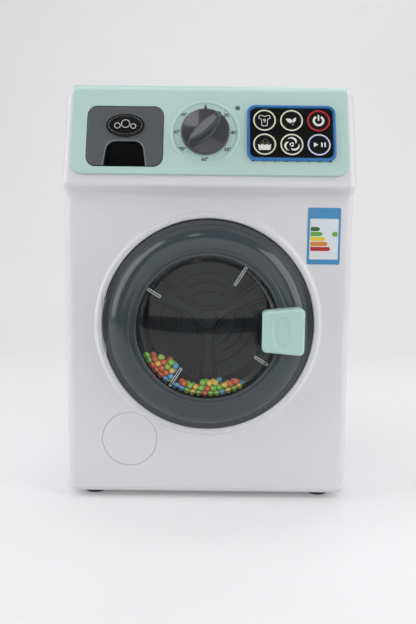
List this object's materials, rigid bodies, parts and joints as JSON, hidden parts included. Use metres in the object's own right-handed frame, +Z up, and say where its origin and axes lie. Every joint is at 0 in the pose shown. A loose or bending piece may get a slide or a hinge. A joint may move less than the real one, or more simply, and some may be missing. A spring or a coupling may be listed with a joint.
{
  "type": "toy washing machine",
  "caption": "Front-loading toy washing machine with an opening door, a driven bead drum, a detergent drawer, a selector knob and press keys.",
  "frame": {"origin": "floor level, below the middle of the bounding box", "axes": "+Z up, -Y out of the front with the door, +X to the right as seen from the front"},
  "size_m": [0.205, 0.18, 0.3],
  "materials": {
    "white_shell": "glossy moulded ABS, near white",
    "mint_panel": "satin-gloss moulded plastic, pale mint",
    "mint_handle": "satin-gloss moulded plastic, mint",
    "slate_ring": "glossy moulded plastic, slate grey",
    "drawer_grey": "fine-textured moulded plastic, dark grey",
    "knob_grey": "satin moulded plastic, dark grey",
    "black_trim": "smooth moulded plastic, black",
    "blue_frame": "glossy moulded plastic, blue",
    "key_black": "smooth black key with a printed ring and sign",
    "circuit_board": "green laminate",
    "clear_plastic": "clear polished polystyrene",
    "drum_black": "satin moulded plastic, near black",
    "bead_plastic": "small round beads in four bright colours",
    "white_inner": "natural white moulded plastic",
    "steel": "plain or zinc-plated steel",
    "foot_rubber": "dark rubber",
    "label_film": "printed film sticker with coloured bars",
    "battery_jacket": "plain dark jacket",
    "speaker_black": "black speaker frame and cone"
  },
  "bodies": {
    "housing": {"front_shell": "white_shell", "rear_shell": "white_shell", "foot_front_left": "foot_rubber", "foot_front_right": "foot_rubber", "foot_rear_left": "foot_rubber", "foot_rear_right": "foot_rubber", "control_panel": "mint_panel", "drawer_guide": "white_inner", "button_bezel": "blue_frame", "button_fascia": "black_trim", "control_board": "circuit_board", "status_led": "black_trim", "hinge_pin": "steel", "motor": "steel", "motor_bracket": "white_inner", "drum_bush": "steel", "bracket_screw_1": "steel", "bracket_screw_2": "steel", "rear_screw_1": "steel", "rear_screw_2": "steel", "rear_screw_3": "steel", "rear_screw_4": "steel", "energy_label": "label_film", "filter_cover": "white_shell", "battery_tray": "black_trim", "contact_strip_left": "steel", "contact_strip_right": "steel", "battery_1": "battery_jacket", "battery_2": "battery_jacket", "battery_3": "battery_jacket", "battery_door": "white_shell", "battery_screw": "steel", "speaker": "speaker_black"},
    "door": {"door_ring": "slate_ring", "door_window": "clear_plastic", "door_back_ring": "slate_ring", "door_handle": "mint_handle", "door_latch": "white_inner"},
    "drum": {"drum_cover": "clear_plastic", "drum_pane": "clear_plastic", "drum_cup": "drum_black", "drum_axle": "steel", "bead_heap_left": "bead_plastic", "bead_heap_bottom": "bead_plastic", "drum_gear": "white_inner"},
    "pinion": {"motor_pinion": "white_inner", "motor_shaft": "steel"},
    "selector": {"dial_knob": "knob_grey", "knob_clip": "steel"},
    "drawer": {"drawer_front": "drawer_grey", "drawer_pull_cup": "black_trim", "drawer_badge": "black_trim", "drawer_tray": "white_inner"},
    "basin_key": {"key_basin": "key_black"},
    "fan_key": {"key_fan": "key_black"},
    "play_key": {"key_play": "key_black"},
    "shirt_key": {"key_shirt": "key_black"},
    "leaf_key": {"key_leaf": "key_black"},
    "power_key": {"key_power": "key_black"},
    "switch": {"power_switch": "black_trim"}
  },
  "joints": [
    {"name": "door_swing", "type": "hinge", "parent": "housing", "child": "door", "pos_m": [-0.0734, -0.0608, 0.13], "axis": [0, 0, -1], "range_deg": [0, 90]},
    {"name": "drum_spin", "type": "hinge", "parent": "housing", "child": "drum", "pos_m": [0, 0, 0.13], "axis": [0, -1, 0], "continuous": true},
    {"name": "pinion_spin", "type": "hinge", "parent": "housing", "child": "pinion", "pos_m": [0, 0, 0.1], "axis": [0, -1, 0], "continuous": true},
    {"name": "selector_turn", "type": "hinge", "parent": "housing", "child": "selector", "pos_m": [-0.0033, -0.06191, 0.26527], "axis": [0, -0.9455, 0.3256], "continuous": true},
    {"name": "drawer_slide", "type": "slide", "parent": "housing", "child": "drawer", "axis": [0, -1, 0], "range_m": [0, 0.032]},
    {"name": "basin_key_press", "type": "slide", "parent": "housing", "child": "basin_key", "axis": [0, 0.9455, -0.3256], "range_m": [0, 0.001], "stiffness_N_per_m": 500},
    {"name": "fan_key_press", "type": "slide", "parent": "housing", "child": "fan_key", "axis": [0, 0.9455, -0.3256], "range_m": [0, 0.001], "stiffness_N_per_m": 500},
    {"name": "play_key_press", "type": "slide", "parent": "housing", "child": "play_key", "axis": [0, 0.9455, -0.3256], "range_m": [0, 0.001], "stiffness_N_per_m": 500},
    {"name": "shirt_key_press", "type": "slide", "parent": "housing", "child": "shirt_key", "axis": [0, 0.9455, -0.3256], "range_m": [0, 0.001], "stiffness_N_per_m": 500},
    {"name": "leaf_key_press", "type": "slide", "parent": "housing", "child": "leaf_key", "axis": [0, 0.9455, -0.3256], "range_m": [0, 0.001], "stiffness_N_per_m": 500},
    {"name": "power_key_press", "type": "slide", "parent": "housing", "child": "power_key", "axis": [0, 0.9455, -0.3256], "range_m": [0, 0.001], "stiffness_N_per_m": 500},
    {"name": "switch_slide", "type": "slide", "parent": "housing", "child": "switch", "axis": [-1, 0, 0], "range_m": [0, 0.006]}
  ],
  "couplings": [
    {"joint": "pinion_spin", "follows": "drum_spin", "ratio": -3}
  ]
}
